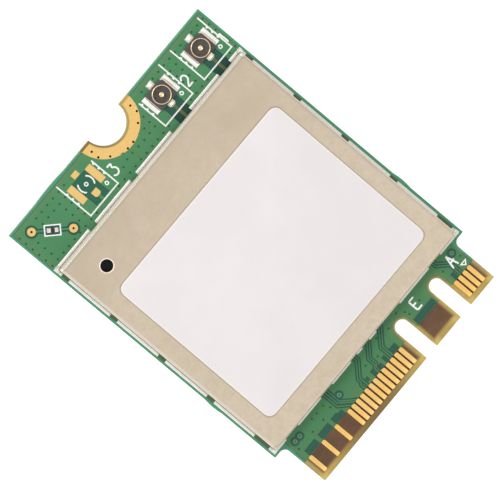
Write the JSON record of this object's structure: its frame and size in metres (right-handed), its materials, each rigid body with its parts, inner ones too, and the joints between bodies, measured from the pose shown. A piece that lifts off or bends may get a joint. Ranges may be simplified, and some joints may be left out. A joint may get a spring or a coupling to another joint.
{
  "type": "laptop wifi card",
  "caption": "plug-in wireless radio card with two edge keys, gold contacts, two coaxial antenna receptacles, a soldered metal shield with a blank label, and a half-round screw notch",
  "frame": {"origin": "under the centre of the board, on the surface it lies on", "axes": "+Z out of the component side; +Y towards the end with the screw notch and the antenna receptacles; +X to the right seen from above, the side of both key slots"},
  "size_m": [0.0222, 0.0301, 0.0022],
  "materials": {
    "board_edge": "matte",
    "green_mask": "gloss",
    "gold_plating": "satin",
    "tinned_copper": "satin",
    "shield_metal": "satin",
    "solder": "gloss",
    "label_paper": "matte",
    "receptacle_plastic": "matte",
    "receptacle_gold": "gloss",
    "white_ink": "matte",
    "chip_plastic": "matte",
    "heat_pad_rubber": "matte",
    "ceramic_tan": "matte",
    "ceramic_dark": "satin",
    "ferrite": "matte",
    "lid_metal": "satin"
  },
  "bodies": {
    "root": {"laminate": "board_edge", "solder_mask_top": "green_mask", "solder_mask_bottom": "green_mask", "contacts_top": "gold_plating", "contacts_bottom": "gold_plating", "screw_pad": "gold_plating", "test_pads": "gold_plating", "spare_antenna_pads": "gold_plating", "receptacle_pads": "tinned_copper", "shield_pads": "tinned_copper", "test_resistor_pads": "tinned_copper", "shield_can": "shield_metal", "shield_solder": "solder", "receptacle_solder": "solder", "label": "label_paper", "receptacle_1_housing": "receptacle_plastic", "receptacle_2_housing": "receptacle_plastic", "receptacle_1_shell": "receptacle_gold", "receptacle_2_shell": "receptacle_gold", "receptacle_1_pin": "receptacle_gold", "receptacle_2_pin": "receptacle_gold", "test_resistor_body": "ceramic_dark", "test_resistor_ends": "tinned_copper", "silkscreen": "white_ink", "radio_lands": "tinned_copper", "radio_chip": "chip_plastic", "heat_pad": "heat_pad_rubber", "front_end_modules": "chip_plastic", "diplexer_bodies": "ceramic_tan", "diplexer_ends": "tinned_copper", "crystal_base": "ceramic_dark", "crystal_lid": "lid_metal", "memory_chip": "chip_plastic", "inductor_bodies": "ferrite", "inductor_ends": "tinned_copper", "capacitor_bodies": "ceramic_tan", "capacitor_ends": "tinned_copper", "resistor_bodies": "ceramic_dark", "resistor_ends": "tinned_copper"}
  },
  "joints": []
}
